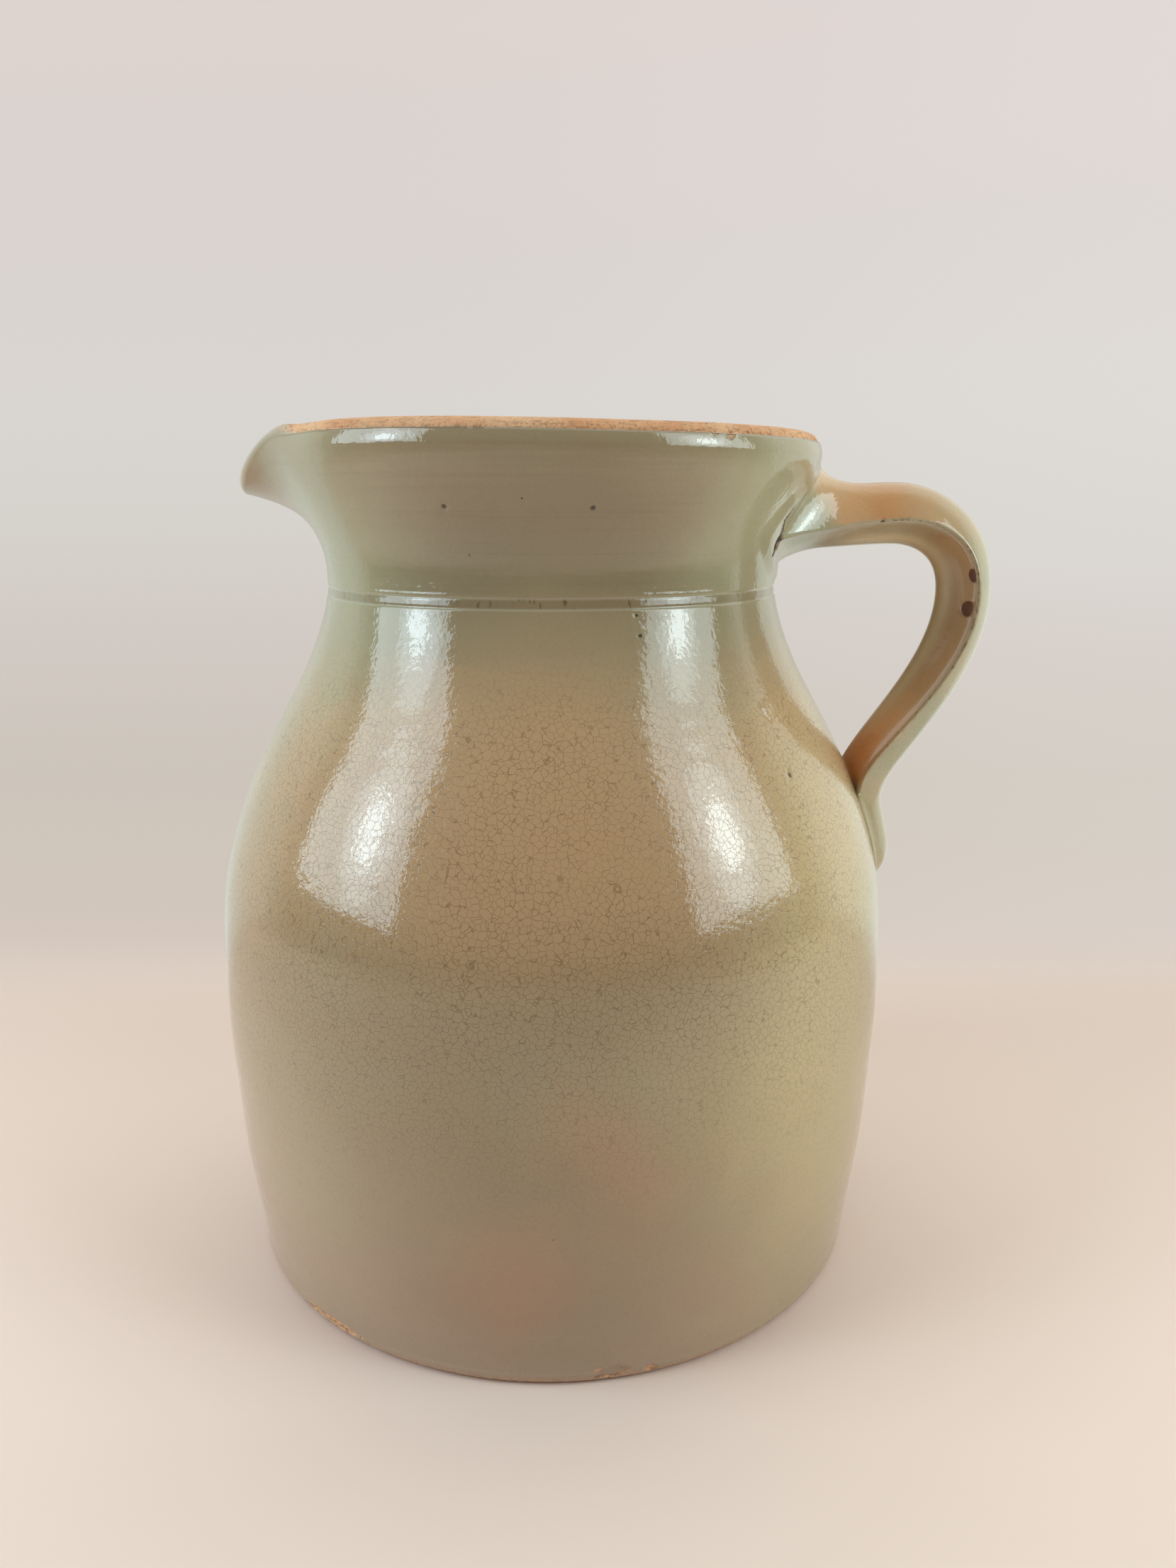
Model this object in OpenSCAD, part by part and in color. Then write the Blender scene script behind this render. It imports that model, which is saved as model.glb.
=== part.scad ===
// Milk jug: a thrown clay pot with a pulled pouring lip, a luted strap handle and its coats of glaze.
// Millimetres, +Z up. The origin is on the pot's axis at the foot; +X points to the handle, -X to the lip.

/* [Pot] */
// Height from the foot to the top of the rim
body_h = 251; // [241:1:271]
// Diameter of the foot before its edge is rounded
foot_d = 191; // [176:1:200]
// Diameter of the belly, the widest place
belly_d = 206; // [200:1:220]
// Height of the belly's widest place
belly_z = 88; // [70:1:100]
// Diameter of the neck at its waist
neck_d = 133.5; // [124:0.5:142]
// Height of the neck's waist
neck_z = 209; // [202:1:212]
// How late the shoulder falls away: the larger, the longer the belly stays full
shoulder_skew = 1.47; // [1.3:0.01:1.7]
// Diameter of the neck's top at its widest, just below the rim
rim_d = 158.5; // [150:0.5:168]
// How far the neck draws in again from there to the rim
rim_ease = 0.6; // [0.2:0.1:1.2]
// Height over which it draws in
ease_h = 6; // [4:0.5:9]
// How late the neck flares out to the rim
flare_skew = 1.15; // [0.9:0.05:1.4]
// Thickness of the wall, and of the half-round rim
wall = 6.6; // [5:0.1:9]
// Thickness of the floor
floor_t = 9; // [6:0.5:14]
// Radius inside, where the wall turns into the floor
heel_round = 20; // [10:1:30]
// Radius of the foot's outer edge
foot_round = 4; // [2:0.5:7]
// Height of the bare clay at the foot, below the glaze
foot_bare = 1.2; // [0.5:0.1:1.8]

/* [Incised line] */
// Distance from the neck's waist down to the middle of the incised line
line_drop = 3; // [2.5:0.5:8]
// Width of the incised line
line_w = 2; // [1:0.1:3]
// Depth of the incised line
line_depth = 0.7; // [0.3:0.1:1.2]

/* [Pouring lip] */
// How far the lip reaches out past the rim
lip_reach = 11.9; // [8:0.1:18]
// How far the lip's edge dips below the rim's edge
lip_drop = 14.4; // [8:0.1:16]
// Half angle of the neck that is drawn out into the lip
lip_half = 38; // [30:1:48]
// Half angle of the channel that dips in the lip's edge
channel_half = 26; // [18:1:29]
// Slope of the lip's underside at its tip
lip_slope = 14; // [4:1:30]
// Wall thickness at the lip's edge
lip_wall = 4.6; // [3.5:0.1:6]

/* [Strap handle] */
// Clear space for fingers between the neck's waist and the strap
finger_gap = 51; // [44:0.5:60]
// Depth of the strap's edges below the rim's top, at the root
strap_drop = 26; // [24:0.5:29]
// Rise of the strap from its root to its crown
crown_rise = 1.8; // [0:0.1:4]
// Radius of the bend after the crown, along the strap's edges
bend_r = 22.5; // [18:0.5:26]
// Width of the strap at its root and crown
strap_w = 32; // [26:0.5:38]
// Height of the strap's domed back above its edges, at its root and crown
strap_dome = 9.4; // [7:0.1:12]
// The same from the elbow down
low_dome = 7.8; // [6:0.1:11]
// Depth of the rounded rib on the strap's inner face below its edges
strap_rib = 7.6; // [5:0.1:10]
// Depth of the coves between the rib and the edges
cove = 2.6; // [1:0.1:3.5]
// How far the strap swells all round where it is luted to the neck
root_flare = 4; // [2:0.1:6]
// Length over which that swelling dies away
flare_len = 16; // [10:1:24]
// Height at which the strap comes down to the wall
land_z = 147; // [138:1:156]
// Distance of the strap's edges from the wall at that height
land_gap = 2.2; // [1:0.1:5]
// Angle at which it comes down, from level
land_angle = 55; // [46:1:62]
// Length of the tail that is pressed onto the wall below there
tail_len = 36; // [30:1:46]
// Width of the tail
tail_w = 27; // [20:0.5:32]
// Height of the tail's back above its edges
tail_dome = 7.2; // [5:0.1:9]
// Depth of the tail's underside below its edges
tail_rib = 4.7; // [3:0.1:7]
// Depth by which the tail's edges are sunk into the wall
tail_sink = 0.8; // [0.5:0.1:2]

/* [Joints and coats] */
// Thickness of the luting clay under each end of the strap
lute_t = 1; // [0.8:0.1:2]
// Thickness of the glaze
glaze_t = 0.6; // [0.4:0.05:0.75]

/* [Hidden] */

CLAY = "#c8895c";
LUTE = "#a9764f";
GLAZE = "#a39a7c";
LINER = "#b3a98c";
HANDLE_GLAZE = "#b79a72";

TURN_FN = 144;      // sides of a full turn in a preview
WALL_STEPS = 26;    // bands up the outside, from the foot to the incised line
NECK_STEPS = 12;    // bands from the neck's waist to the rim's edge where it is turned
LIP_ROWS = 13;      // the same where it is lofted into the lip, so that no two edges meet
HEEL_STEPS = 8;     // bands round the heel inside, and as many round the foot
EDGE_STEPS = 6;     // bands round the rim
LIP_STEPS = 26;     // slices across the lip
SECTION_STEPS = 10; // facets across the strap's back, and as many across its inner face
SPAN_STEPS = [6, 7, 11, 7, 6]; // rings along each span of the strap's path
NUDGE = 0.01;       // step for a direction along a curve
LIP_PULL = 0.4;     // pull of the lip's curve at both ends, as a share of the neck's height
LIP_SHARP = 1.3;    // how sharply the lip is drawn out of the round neck
LIP_PROUD = 0.08;   // how far the lofted lip stands proud of the turned neck, so that the two join cleanly
LIP_LAP = 1;        // angle by which the lip laps over the turned neck on each side
WAIST_LAP = 1;      // height by which it laps over the wall below the waist
BACK_POWER = 2.3;   // shape of the strap's back: 2 is a parabola, more is fuller at the edges
PRESSED = 0.6;      // share of the tail's length where it lies along the wall
LAND_TAPER = 0.7;   // how far the strap has narrowed to the tail's size where it comes down
END_SHARE = 0.6;    // size of the tail's buried end, as a share of the tail's own

foot_r = foot_d / 2;
belly_r = belly_d / 2;
neck_r = neck_d / 2;
rim_r = rim_d / 2;
edge_lean = atan(2 * rim_ease / ease_h);
edge_z = body_h - wall / 2 * (1 - sin(edge_lean));
line_z = neck_z - line_drop;

function mix(a, b, t) = a + (b - a) * t;
function smooth(t) = t * t * (3 - 2 * t);
function unit(v) = v / norm(v);
function lathe_arc(c, r, from, to, steps) =
    [for (i = [0:steps]) c + r * [cos(mix(from, to, i / steps)), sin(mix(from, to, i / steps))]];
function bezier(p, t) =
    pow(1 - t, 3) * p[0] + 3 * t * pow(1 - t, 2) * p[1] + 3 * t * t * (1 - t) * p[2] + pow(t, 3) * p[3];
function bezier_dir(p, t) =
    unit(pow(1 - t, 2) * (p[1] - p[0]) + 2 * t * (1 - t) * (p[2] - p[1]) + t * t * (p[3] - p[2]));
function flip(list) = [for (i = [len(list) - 1:-1:0]) list[i]];

// Radius of the clay's outside at a height below the neck's waist
function pot_r(z) = z < belly_z
    ? mix(belly_r, foot_r, pow(1 - z / belly_z, 2))
    : mix(belly_r, neck_r, smooth(pow((z - belly_z) / (neck_z - belly_z), shoulder_skew)));

// Outside of the pot from the top of the foot's edge to the incised line, grown by off
function line_cut(z) = abs(z - line_z) < line_w / 2 - NUDGE ? line_depth : 0;
WALL_ZS = concat(
    [for (i = [0:WALL_STEPS]) mix(foot_round, line_z - line_w / 2, i / WALL_STEPS)],
    [line_z - line_w / 4, line_z + line_w / 4, line_z + line_w / 2]);
function outside(off) = [for (z = WALL_ZS) [pot_r(z) - line_cut(z) + off, z]];

// Inside of the pot from the floor's centre to just below the neck's waist, grown inward by off
heel_z = floor_t + heel_round;
function inside(off) = concat(
    [[0, floor_t + off]],
    lathe_arc([pot_r(heel_z) - wall - heel_round, heel_z], heel_round - off, -90, 0, HEEL_STEPS),
    [for (i = [1:WALL_STEPS])
        let (z = mix(heel_z, neck_z - WAIST_LAP, i / WALL_STEPS)) [pot_r(z) - wall - off, z]]);

// Round of the foot's edge from one angle to the wall, grown by off
function foot_edge(from, off) =
    lathe_arc([pot_r(foot_round) - foot_round, foot_round], foot_round + off, from, 0, HEEL_STEPS);
GLAZE_FROM = -asin(1 - foot_bare / foot_round);
function foot_to_waist(from, off) =
    concat(foot_edge(from, off), [for (i = [1:len(WALL_ZS) - 1]) outside(off)[i]]);

// Neck: a plain flare, drawn out round the angle phi = 0 into the lip's curve
WAIST = [neck_r, neck_z];
LIP_TIP = [rim_r + lip_reach, edge_z - lip_drop];
lip_pull = (edge_z - neck_z) * LIP_PULL;
LIP = [WAIST, WAIST + [0, lip_pull], LIP_TIP - lip_pull * [cos(lip_slope), sin(lip_slope)], LIP_TIP];
function drawn_out(phi) = pow(smooth(max(0, 1 - abs(phi) / lip_half)), LIP_SHARP);
function dipped(phi) = smooth(max(0, 1 - abs(phi) / channel_half));
FLARE_END = 1 - ease_h / (edge_z - neck_z);
function plain_neck(s) =
    let (out = smooth(pow(min(1, s / FLARE_END), flare_skew)), back = max(0, s - FLARE_END) / (1 - FLARE_END))
    [mix(neck_r, rim_r, out) - rim_ease * back * back, mix(neck_z, edge_z, s)];
function neck_curve(s, phi) =
    let (a = plain_neck(s), b = bezier(LIP, s)) [mix(a.x, b.x, drawn_out(phi)), mix(a.y, b.y, dipped(phi))];
function neck_dir(s, phi) = s <= 0
    ? [0, 1]
    : unit(neck_curve(min(1, s + NUDGE), phi) - neck_curve(s - NUDGE, phi));
function neck_point(s, phi, off) =
    let (d = neck_dir(s, phi)) neck_curve(s, phi) + off * [d.y, -d.x];
function neck_wall(s, phi) = mix(wall, lip_wall, s * drawn_out(phi));
function neck_side(phi, off, rows = NECK_STEPS) = [for (i = [0:rows]) neck_point(i / rows, phi, off)];
function neck_inside(phi, off, rows = NECK_STEPS) =
    [for (i = [0:rows]) let (s = i / rows) neck_point(s, phi, -neck_wall(s, phi) - off)];

// Half-round rim, from the outer edge over the top to the inner edge
function rim_round(phi, up) =
    let (d = neck_dir(1, phi), half = neck_wall(1, phi) / 2, c = neck_point(1, phi, up - half))
    [for (i = [1:EDGE_STEPS - 1])
        let (a = 180 * i / EDGE_STEPS) c + half * (cos(a) * [d.y, -d.x] + sin(a) * d)];

function neck_clay(phi) = concat(neck_side(phi, 0), rim_round(phi, 0), flip(neck_inside(phi, 0)));
function neck_coat(phi) = concat(neck_side(phi, glaze_t), flip(neck_side(phi, 0)));
function neck_liner(phi) = concat(neck_inside(phi, 0), flip(neck_inside(phi, glaze_t)));

// The same three outlines as the loft takes them: a little proud, and lapped down over the wall
function lapped(outline, inner_off, outer_off) =
    let (z = neck_z - WAIST_LAP, r = pot_r(z) + LIP_PROUD)
    concat([[r + outer_off, z]], outline, [[r + inner_off, z]]);
function lip_side(phi, off) = neck_side(phi, off + LIP_PROUD, LIP_ROWS);
function lip_inside(phi, off) = neck_inside(phi, off - LIP_PROUD, LIP_ROWS);
function lip_clay(phi) =
    lapped(concat(lip_side(phi, 0), rim_round(phi, LIP_PROUD), flip(lip_inside(phi, 0))), -wall, 0);
function lip_coat(phi) = lapped(concat(lip_side(phi, glaze_t), flip(lip_side(phi, 0))), 0, glaze_t);
function lip_liner(phi) =
    lapped(concat(lip_inside(phi, 0), flip(lip_inside(phi, glaze_t))), -wall - glaze_t, -wall);
LIP_PHIS = [for (i = [0:LIP_STEPS]) mix(1, -1, i / LIP_STEPS) * (lip_half + LIP_LAP)];

// Triangles of the sides between rings of n points, the first of which is point a
function ring_sides(n, a, rings) = [for (j = [0:rings - 2]) for (i = [0:n - 1])
    let (p = a + j * n + i, q = a + j * n + (i + 1) % n)
    each [[p, p + n, q + n], [p, q + n, q]]];
function inside_out(faces) = [for (f = faces) [f[2], f[1], f[0]]];
function shifted(faces, by) = [for (f = faces) [for (i = f) i + by]];

// Skin over rings of equal length. Each end is closed with a strip of triangles between its ring's two halves
module skin(rings) {
    n = len(rings[0]);
    strip = [for (i = [0:ceil(n / 2) - 2])
        let (j = n - 1 - i)
        each (i + 1 < j - 1 ? [[i, i + 1, j], [i + 1, j - 1, j]] : [[i, i + 1, j]])];
    polyhedron([for (ring = rings) each ring],
        concat(ring_sides(n, 0, len(rings)), strip, shifted(inside_out(strip), (len(rings) - 1) * n)));
}

// Sleeve between two skins of as many rings, open at both ends
module sleeve(outer, inner) {
    n = len(outer[0]);
    far = (len(outer) - 1) * n;
    all = len(outer) * n;
    lap = [for (i = [0:n - 1])
        let (j = (i + 1) % n)
        each [[i, j, all + j], [i, all + j, all + i]]];
    polyhedron([for (ring = concat(outer, inner)) each ring],
        concat(ring_sides(n, 0, len(outer)), inside_out(ring_sides(n, all, len(outer))), lap,
            shifted(inside_out(lap), far)));
}

// What is turned on the wheel, with the sector that becomes the lip cut out of its neck
module turned(outline) {
    side = body_h * [1, tan(lip_half)];
    difference() {
        rotate_extrude($fn = TURN_FN)
            polygon(outline);
        translate([0, 0, neck_z])
            linear_extrude(body_h)
                polygon([[0, 0], [-side.x, side.y], [-side.x, -side.y]]);
    }
}

// The lip, lofted from one side of that sector to the other
module lofted(outlines) {
    skin([for (j = [0:LIP_STEPS])
        [for (p = outlines[j]) [-p.x * cos(LIP_PHIS[j]), -p.x * sin(LIP_PHIS[j]), p.y]]]);
}

// Solid of the pot's outside without the lip, grown by off: what the strap is seated on
module pot_core(off) {
    rotate_extrude($fn = TURN_FN)
        polygon(concat([[0, foot_round]], outside(off), neck_side(lip_half, off), [[0, edge_z]]));
}

// Path of the strap's edges: root, crown, elbow, landing, tail, end of the tail
root_z = body_h - strap_drop;
reach = neck_r + glaze_t + finger_gap + strap_rib;
ROOT = [neck_r - wall, root_z];
CROWN = [reach - bend_r, root_z + crown_rise];
ELBOW = [reach, root_z + crown_rise - bend_r];
LANDING = [pot_r(land_z) + land_gap, land_z];
tail_z = land_z - tail_len * PRESSED;
TAIL = [pot_r(tail_z) - tail_sink, tail_z];
end_z = land_z - tail_len;
END = [pot_r(end_z) - tail_dome - tail_sink, end_z];
LAND_DIR = [-cos(land_angle), -sin(land_angle)];
WALL_DIR = unit([pot_r(tail_z - NUDGE) - pot_r(tail_z), -NUDGE]);

// Each place's point and direction, and how strongly the curve before and after it follows that direction
PLACES = [
    [ROOT, [1, 0], 0, 0.5],
    [CROWN, [1, 0], 0.25, 0.3],
    [ELBOW, [0, -1], 0.54, 0.39],
    [LANDING, LAND_DIR, 0.14, 0.27],
    [TAIL, WALL_DIR, 0.45, 0.5],
    [END, LAND_DIR, 0.3, 0]];
function span(a, b) =
    let (d = norm(b[0] - a[0])) [a[0], a[0] + d * a[3] * a[1], b[0] - d * b[2] * b[1], b[0]];
PATH = [for (k = [0:len(PLACES) - 2]) span(PLACES[k], PLACES[k + 1])];

// Sizes of the strap's section at each place: half width, dome, rib, cove
CROWN_SIZE = [strap_w / 2, strap_dome, strap_rib, cove];
ELBOW_SIZE = [strap_w / 2, low_dome, strap_rib, cove];
TAIL_SIZE = [tail_w / 2, tail_dome, tail_rib, 0];
SECTION_SIZES = [CROWN_SIZE, CROWN_SIZE, ELBOW_SIZE, mix(ELBOW_SIZE, TAIL_SIZE, LAND_TAPER), TAIL_SIZE,
    TAIL_SIZE * END_SHARE];

// Section of the strap: a domed back, two sharp edges, and a rib between two coves inside
function strap_section(size) = concat(
    [for (i = [0:SECTION_STEPS]) let (x = 1 - 2 * i / SECTION_STEPS)
        [x * size[0], size[1] * (1 - pow(abs(x), BACK_POWER))]],
    [for (i = [1:SECTION_STEPS - 1]) let (x = 2 * i / SECTION_STEPS - 1)
        [x * size[0], size[3] * sin(180 * abs(x)) - size[2] * pow(cos(90 * x), 2)]]);

// A closed outline grown by off, square to its sides
function grown(loop, off) = [for (i = [0:len(loop) - 1])
    let (n = len(loop), a = unit(loop[i] - loop[(i + n - 1) % n]), b = unit(loop[(i + 1) % n] - loop[i]),
        na = [a.y, -a.x], nb = [b.y, -b.x])
    loop[i] + off * (na + nb) / (1 + na * nb)];

function strap_ring(k, t, off) =
    let (p = bezier(PATH[k], t), d = bezier_dir(PATH[k], t),
        swell = root_flare * pow(max(0, 1 - max(0, p.x - neck_r) / flare_len), 2) * (k == 0 ? 1 : 0),
        size = mix(SECTION_SIZES[k], SECTION_SIZES[k + 1], smooth(t)) + swell * [1, 1, 1, 0])
    [for (q = grown(strap_section(size), off)) [p.x - d.y * q.y, q.x, p.y + d.x * q.y]];

function strap_rings(off) = concat(
    [for (k = [0:len(PATH) - 1]) for (i = [0:SPAN_STEPS[k] - 1]) strap_ring(k, i / SPAN_STEPS[k], off)],
    [strap_ring(len(PATH) - 1, 1, off)]);

// Layer of luting clay between the wall and one end of the strap, from one height to another
module lute(from_z, to_z) {
    difference() {
        intersection() {
            skin(strap_rings(0));
            pot_core(lute_t);
            translate([0, 0, from_z])
                cylinder(h = to_z - from_z, r = reach, $fn = TURN_FN);
        }
        pot_core(0);
    }
}
between_lutes = (root_z + land_z) / 2;

module clay_body() {
    color(CLAY)
        union() {
            turned(concat([[0, 0]], foot_to_waist(-90, 0), neck_clay(lip_half), flip(inside(0))));
            lofted([for (phi = LIP_PHIS) lip_clay(phi)]);
        }
}

module strap_handle() {
    color(CLAY)
        difference() {
            skin(strap_rings(0));
            pot_core(lute_t);
        }
}

module upper_lute() {
    color(LUTE)
        lute(between_lutes, body_h);
}

module lower_lute() {
    color(LUTE)
        lute(0, between_lutes);
}

module outer_glaze() {
    color(GLAZE)
        difference() {
            union() {
                turned(concat(foot_to_waist(GLAZE_FROM, glaze_t), neck_coat(lip_half),
                    flip(foot_to_waist(GLAZE_FROM, 0))));
                lofted([for (phi = LIP_PHIS) lip_coat(phi)]);
            }
            skin(strap_rings(0));
        }
}

module inner_glaze() {
    color(LINER)
        union() {
            turned(concat(inside(0), neck_liner(lip_half), flip(inside(glaze_t))));
            lofted([for (phi = LIP_PHIS) lip_liner(phi)]);
        }
}

module handle_glaze() {
    color(HANDLE_GLAZE)
        difference() {
            sleeve(strap_rings(glaze_t), strap_rings(0));
            pot_core(glaze_t);
        }
}

clay_body();
strap_handle();
upper_lute();
lower_lute();
outer_glaze();
inner_glaze();
handle_glaze();
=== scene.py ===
import math

import bmesh
import bpy
import numpy as np
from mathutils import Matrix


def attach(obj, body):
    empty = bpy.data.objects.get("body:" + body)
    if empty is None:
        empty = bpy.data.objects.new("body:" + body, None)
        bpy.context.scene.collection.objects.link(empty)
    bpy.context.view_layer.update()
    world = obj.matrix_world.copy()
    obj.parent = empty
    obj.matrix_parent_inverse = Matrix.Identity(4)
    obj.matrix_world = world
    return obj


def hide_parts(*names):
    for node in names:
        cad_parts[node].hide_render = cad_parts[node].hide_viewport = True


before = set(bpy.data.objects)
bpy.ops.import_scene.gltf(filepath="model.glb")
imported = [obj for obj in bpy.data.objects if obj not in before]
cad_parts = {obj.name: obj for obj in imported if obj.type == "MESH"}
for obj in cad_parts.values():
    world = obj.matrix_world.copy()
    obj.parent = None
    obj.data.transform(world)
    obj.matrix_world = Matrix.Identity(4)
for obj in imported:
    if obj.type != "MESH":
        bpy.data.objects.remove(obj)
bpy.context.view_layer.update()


# The thrown pot
# One wall of buff-orange earthenware, thrown on the wheel, with its lip pulled out of the soft neck by a finger.
# It is bare on the half-round rim and under the wire-cut foot. Lengths are metres; phi is degrees from the lip.
BODY_H = 0.251
FOOT_R = 0.0955
BELLY_R = 0.103
BELLY_Z = 0.088
NECK_R = 0.06675
NECK_Z = 0.209
SHOULDER_SKEW = 1.47
RIM_R = 0.07925
RIM_EASE = 0.0006
EASE_H = 0.003
EDGE_CHORD = 0.1
FLARE_ON = 0.145
FLARE_SKEW = 1.15
WALL = 0.0066
FLOOR = 0.009
HEEL_ROUND = 0.020
FOOT_ROUND = 0.004
LIP_REACH = 0.0119
LIP_DROP = 0.0144
LIP_HALF = 38
CHANNEL_HALF = 26
LIP_SLOPE = 14
LIP_WALL = 0.0046
LIP_PULL = 0.4
LIP_SHARP = 1.3
RIM_HIGH = 0.003
RIM_RISE = 0.0004
RIM_SAG = 0.0014
WIRE_CUT = 0.00025
WIRE_PITCH = 0.0011
WIRE_BEND = 0.9
WIRE_CENTRE = (0.06, -0.16)
COLUMNS = 720
EDGE_Z = BODY_H - RIM_HIGH
PHI = np.linspace(-180, 180, COLUMNS, endpoint=False)


def mix(a, b, t):
    return a + (b - a) * t


def smooth(t):
    return t * t * (3 - 2 * t)


def fade(value, start, end):
    """0 on the side of start, 1 on the side of end, with a soft step between them."""
    return smooth(np.clip((value - start) / (end - start), 0, 1))


def bezier(p, t):
    t = np.asarray(t)[..., None]
    return (1 - t) ** 3 * p[0] + 3 * t * (1 - t) ** 2 * p[1] + 3 * t * t * (1 - t) * p[2] + t ** 3 * p[3]


def pot_radius(z):
    below = mix(BELLY_R, FOOT_R, np.clip(1 - z / BELLY_Z, 0, 1) ** 2)
    share = np.clip((z - BELLY_Z) / (NECK_Z - BELLY_Z), 0, 1)
    return np.where(z < BELLY_Z, below, mix(BELLY_R, NECK_R, smooth(share ** SHOULDER_SKEW)))


def drawn_out(phi):
    return smooth(np.clip(1 - np.abs(phi) / LIP_HALF, 0, 1)) ** LIP_SHARP


def plain_neck(s):
    """Radius of the neck away from the lip: it flares out, then draws in a little to the rim."""
    flare_end = 1 - EASE_H / (EDGE_Z - NECK_Z)
    out = np.minimum(1, s / flare_end) ** FLARE_SKEW
    back = np.clip(s - flare_end, 0, 1) / (1 - flare_end)
    return mix(NECK_R, RIM_R, mix(smooth(out), out ** 2, FLARE_ON)) - RIM_EASE * back ** 2


def neck_curve(s):
    """Radius and height of the neck's outside at each share s of its height, for every angle PHI."""
    waist = np.array([NECK_R, NECK_Z])
    tip = np.array([RIM_R + LIP_REACH, EDGE_Z - LIP_DROP])
    pull = (EDGE_Z - NECK_Z) * LIP_PULL
    slope = np.radians(LIP_SLOPE)
    lip = bezier([waist, waist + [0, pull], tip - pull * np.array([np.cos(slope), np.sin(slope)]), tip], s)
    dipped = smooth(np.clip(1 - np.abs(PHI) / CHANNEL_HALF, 0, 1))
    r = mix(plain_neck(s)[:, None], lip[:, :1], drawn_out(PHI))
    z = mix(mix(NECK_Z, EDGE_Z, s)[:, None], lip[:, 1:], dipped)
    away = np.abs(PHI)
    uneven = RIM_RISE * fade(away, 22, 46) - RIM_SAG * fade(away, 45, 115)
    return r, z + s[:, None] * uneven


def level(values):
    """A column of values as a sheet that is the same at every angle PHI."""
    return np.repeat(np.asarray(values, float)[:, None], COLUMNS, axis=1)


def heading(r, z):
    """Direction of each outline, from row to row."""
    dr, dz = np.gradient(r, axis=0), np.gradient(z, axis=0)
    length = np.hypot(dr, dz)
    return dr / length, dz / length


def grown(r, z, by):
    """An outline grown outward, square to itself."""
    dr, dz = heading(r, z)
    return r + by * dz, z - by * dr


def rim_round(a, by=0):
    """Half-round rim over the neck's edge, at angles a from its outer to its inner edge, grown by a thickness."""
    r, z = neck_curve(np.array([1 - EDGE_CHORD, 1.0]))
    dr, dz = heading(r, z)
    half = mix(WALL, LIP_WALL, drawn_out(PHI)) / 2
    a = np.radians(a)
    out, up = (half + by) * np.cos(a) - half, (half + by) * np.sin(a)
    return r[1] + out * dz[1] + up * dr[1], z[1] - out * dr[1] + up * dz[1]


def foot_edge(start, rows, by=0):
    a = np.radians(np.linspace(start, 0, rows, endpoint=False))
    middle = pot_radius(FOOT_ROUND) - FOOT_ROUND
    return level(middle + (FOOT_ROUND + by) * np.cos(a)), level(FOOT_ROUND + (FOOT_ROUND + by) * np.sin(a))


def wall_inside(rows, by=0):
    """Inside of the pot from the waist down to the floor's centre, grown inward."""
    heel_z = FLOOR + HEEL_ROUND
    z = np.linspace(NECK_Z, heel_z, rows, endpoint=False)
    a = np.radians(np.linspace(0, -90, rows // 4))
    middle = pot_radius(heel_z) - WALL - HEEL_ROUND
    heel_r = middle + (HEEL_ROUND - by) * np.cos(a)
    heel_h = heel_z + (HEEL_ROUND - by) * np.sin(a)
    across = np.linspace(1, 0, rows // 4)[1:] * heel_r[-1]
    r = np.concatenate([pot_radius(z) - WALL - by, heel_r, across])
    return level(r), level(np.concatenate([z, heel_h, np.full(len(across), FLOOR + by)]))


def neck_wall(s):
    return mix(WALL, LIP_WALL, s[:, None] * drawn_out(PHI))


def chips_at(r, z, places):
    """Depth of the chips at each point of a sheet. A place is phi, height, half width, half height and depth."""
    depth = np.zeros_like(r)
    for phi, height, wide, high, deep in places:
        around = np.radians((PHI - phi + 180) % 360 - 180) * r
        ragged = 0.25 * np.sin(around / wide * 5 + phi) * np.sin((z - height) / high * 4 + 1)
        away = np.hypot(around / wide, (z - height) / high) + ragged
        depth = np.maximum(depth, deep * fade(away, 1.15, 0.75))
    return depth


def woven(name, points, ring=False, merge=1e-7, **masks):
    """A smooth mesh over a sheet of points, whose rows each close on themselves. Masks are numbers at its points."""
    rows, columns = points.shape[:2]
    i, j = np.meshgrid(np.arange(rows if ring else rows - 1), np.arange(columns), indexing="ij")
    below, above = i * columns, (i + 1) % rows * columns
    after = (j + 1) % columns
    faces = np.stack([below + j, below + after, above + after, above + j], axis=-1).reshape(-1, 4)
    mesh = bpy.data.meshes.new(name)
    mesh.from_pydata(points.reshape(-1, 3).tolist(), [], faces.tolist())
    for mask, values in masks.items():
        mesh.attributes.new(mask, "FLOAT", "POINT").data.foreach_set("value", values.ravel())
    shaped = bmesh.new()
    shaped.from_mesh(mesh)
    bmesh.ops.remove_doubles(shaped, verts=shaped.verts, dist=merge)
    shaped.to_mesh(mesh)
    shaped.free()
    mesh.shade_smooth()
    piece = bpy.data.objects.new(name, mesh)
    bpy.context.scene.collection.objects.link(piece)
    return piece


def turned(name, *bands, ring=False):
    """A mesh of bands of outlines swept round the pot. A band is its radii, its heights and how thin the glaze is."""
    r = np.concatenate([band[0] for band in bands])
    z = np.concatenate([band[1] for band in bands])
    thin = np.concatenate([band[2] if len(band) > 2 else np.zeros_like(band[0]) for band in bands])
    phi = np.radians(PHI)
    points = np.stack([-r * np.cos(phi), -r * np.sin(phi), z], axis=-1)
    return woven(name, points, ring, thin=thin)


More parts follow.
